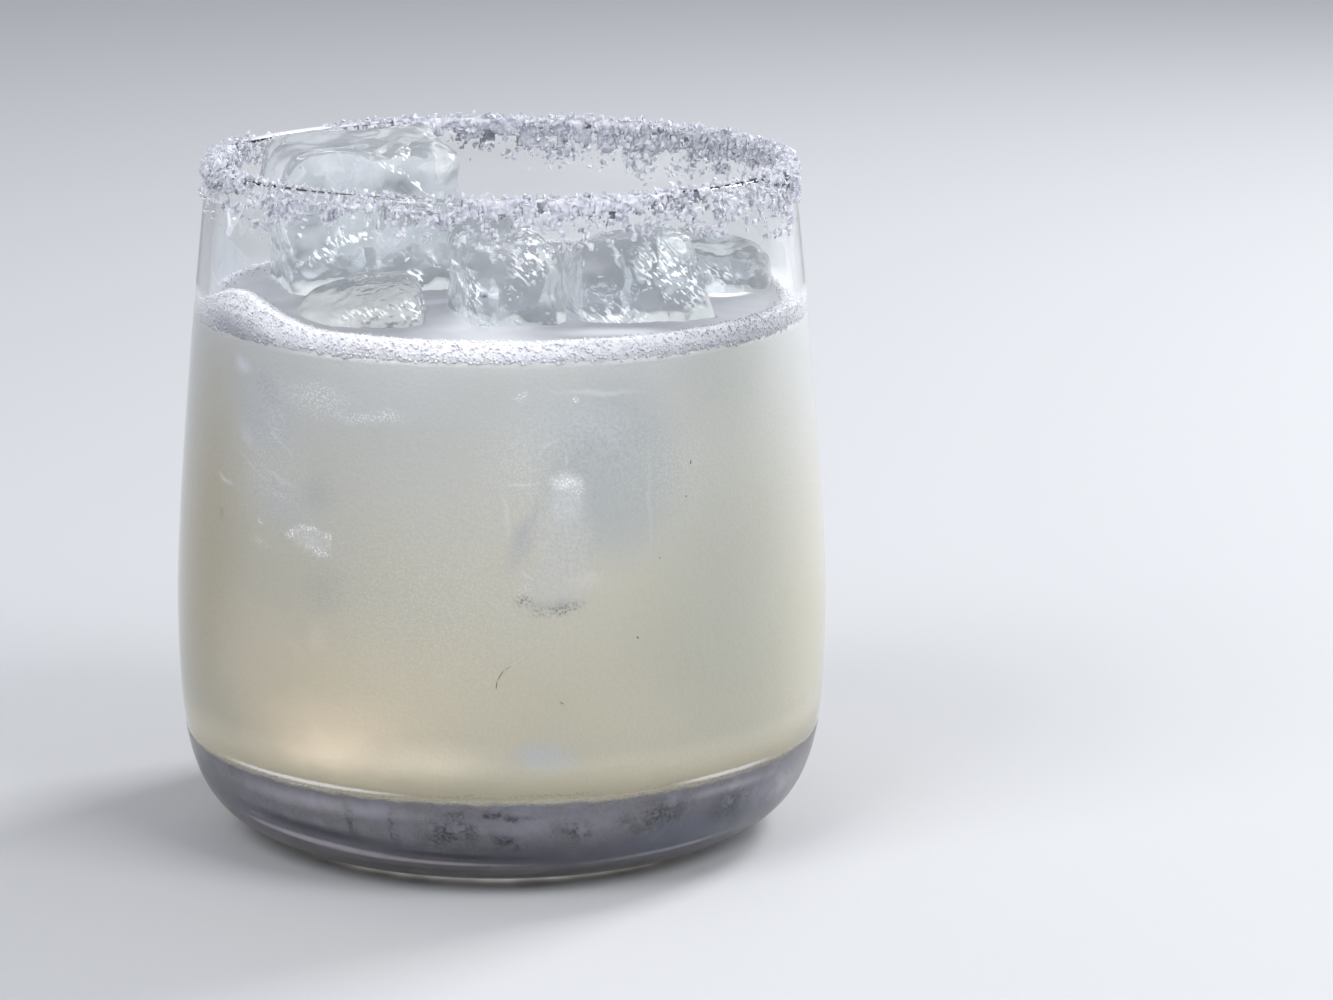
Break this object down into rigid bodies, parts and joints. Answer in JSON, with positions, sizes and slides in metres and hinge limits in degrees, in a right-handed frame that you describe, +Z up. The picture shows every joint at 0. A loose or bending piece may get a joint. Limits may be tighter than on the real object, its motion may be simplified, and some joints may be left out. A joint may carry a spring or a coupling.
{
  "type": "margarita cocktail",
  "caption": "Iced margarita in a low heavy-based tumbler that leans in to a thick ragged salt rim, with a thin froth on the cloudy lime drink.",
  "frame": {"origin": "middle of the foot ring, on the surface that the glass stands on", "axes": "+Z up along the glass's axis; -Y towards the side that the picture shows; +X to its right"},
  "size_m": [0.0872, 0.0874, 0.0918],
  "materials": {
    "glass": "clear, frosted by condensation below the drink's level",
    "drink": "cloudy pale green-cream liquid",
    "foam": "fine white froth",
    "ice": "wet, part cloudy",
    "salt": "coarse white crystals"
  },
  "bodies": {
    "root": {"glass": "glass", "drink": "drink", "foam": "foam", "ice_back_left": "ice", "ice_front_left": "ice", "ice_middle": "ice", "ice_right": "ice", "ice_back_right": "ice", "salt_rim": "salt"}
  },
  "joints": []
}
